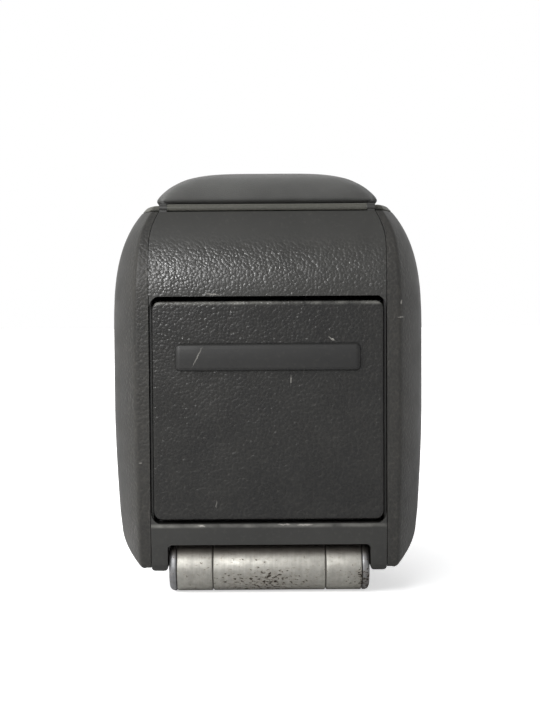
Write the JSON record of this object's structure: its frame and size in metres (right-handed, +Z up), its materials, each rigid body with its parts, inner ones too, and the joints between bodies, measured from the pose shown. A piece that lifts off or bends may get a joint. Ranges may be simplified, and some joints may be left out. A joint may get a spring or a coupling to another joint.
{
  "type": "hinged centre armrest",
  "caption": "Tilting car centre armrest with a padded storage lid, rounded side shells, a drop-down rear flap with cup wells and a hinge barrel on a floor bracket.",
  "frame": {"origin": "middle of the underside of the bracket's foot plate", "axes": "+Z up, +Y towards the front end of the armrest, +X to the right as seen from the rear"},
  "size_m": [0.187, 0.3324, 0.2498],
  "materials": {
    "cheek_plastic": "fine grained dark grey plastic",
    "frame_plastic": "grained dark grey plastic",
    "flap_plastic": "grained dark grey plastic",
    "underside_plastic": "matt dark grey plastic",
    "bin_plastic": "matt black plastic",
    "mat_rubber": "matt black rubber",
    "lid_plastic": "smooth grey plastic",
    "latch_plastic": "smooth dark plastic",
    "pad_cover": "soft grey leatherette",
    "silver_paint": "worn satin silver paint",
    "hinge_steel": "black painted steel",
    "zinc_steel": "zinc plated steel",
    "bush_nylon": "natural nylon"
  },
  "bodies": {
    "base": {"mounting_bracket": "hinge_steel", "bracket_bolt_1": "zinc_steel", "bracket_bolt_2": "zinc_steel", "bracket_bolt_3": "zinc_steel", "bracket_bolt_4": "zinc_steel", "barrel_centre_sleeve": "silver_paint", "hinge_shaft": "zinc_steel"},
    "armrest": {"left_cheek": "cheek_plastic", "right_cheek": "cheek_plastic", "rear_frame": "frame_plastic", "underside_cover": "underside_plastic", "storage_bin": "bin_plastic", "bin_mat": "mat_rubber", "cup_housing": "bin_plastic", "hinge_frame": "hinge_steel", "frame_screw_1": "zinc_steel", "frame_screw_2": "zinc_steel", "frame_screw_3": "zinc_steel", "frame_screw_4": "zinc_steel", "left_barrel_sleeve": "silver_paint", "right_barrel_sleeve": "silver_paint", "left_end_cap": "silver_paint", "right_end_cap": "silver_paint", "left_bush": "bush_nylon", "right_bush": "bush_nylon", "left_lid_hinge_pin": "zinc_steel", "right_lid_hinge_pin": "zinc_steel", "left_flap_hinge_pin": "zinc_steel", "right_flap_hinge_pin": "zinc_steel", "latch_catch": "zinc_steel"},
    "lid": {"lid_frame": "lid_plastic", "lid_inner_panel": "bin_plastic", "lid_pad": "pad_cover", "latch_pin": "zinc_steel"},
    "latch": {"latch_lever": "latch_plastic"},
    "flap": {"flap_door": "flap_plastic", "cup_tray": "bin_plastic", "tray_screw_1": "zinc_steel", "tray_screw_2": "zinc_steel", "tray_screw_3": "zinc_steel", "tray_screw_4": "zinc_steel"}
  },
  "joints": [
    {"name": "armrest_tilt", "type": "hinge", "parent": "base", "child": "armrest", "pos_m": [0, -0.0425, 0.013], "axis": [1, 0, 0], "range_deg": [0, 70]},
    {"name": "lid_hinge", "type": "hinge", "parent": "armrest", "child": "lid", "pos_m": [0, -0.0413, 0.2256], "axis": [1, 0, 0], "range_deg": [0, 95]},
    {"name": "latch_pivot", "type": "hinge", "parent": "lid", "child": "latch", "pos_m": [0, 0.2547, 0.2209], "axis": [1, 0, 0], "range_deg": [0, 15], "stiffness_Nm_per_rad": 0.05},
    {"name": "flap_hinge", "type": "hinge", "parent": "armrest", "child": "flap", "pos_m": [0, -0.05, 0.049], "axis": [1, 0, 0], "range_deg": [0, 90]}
  ]
}
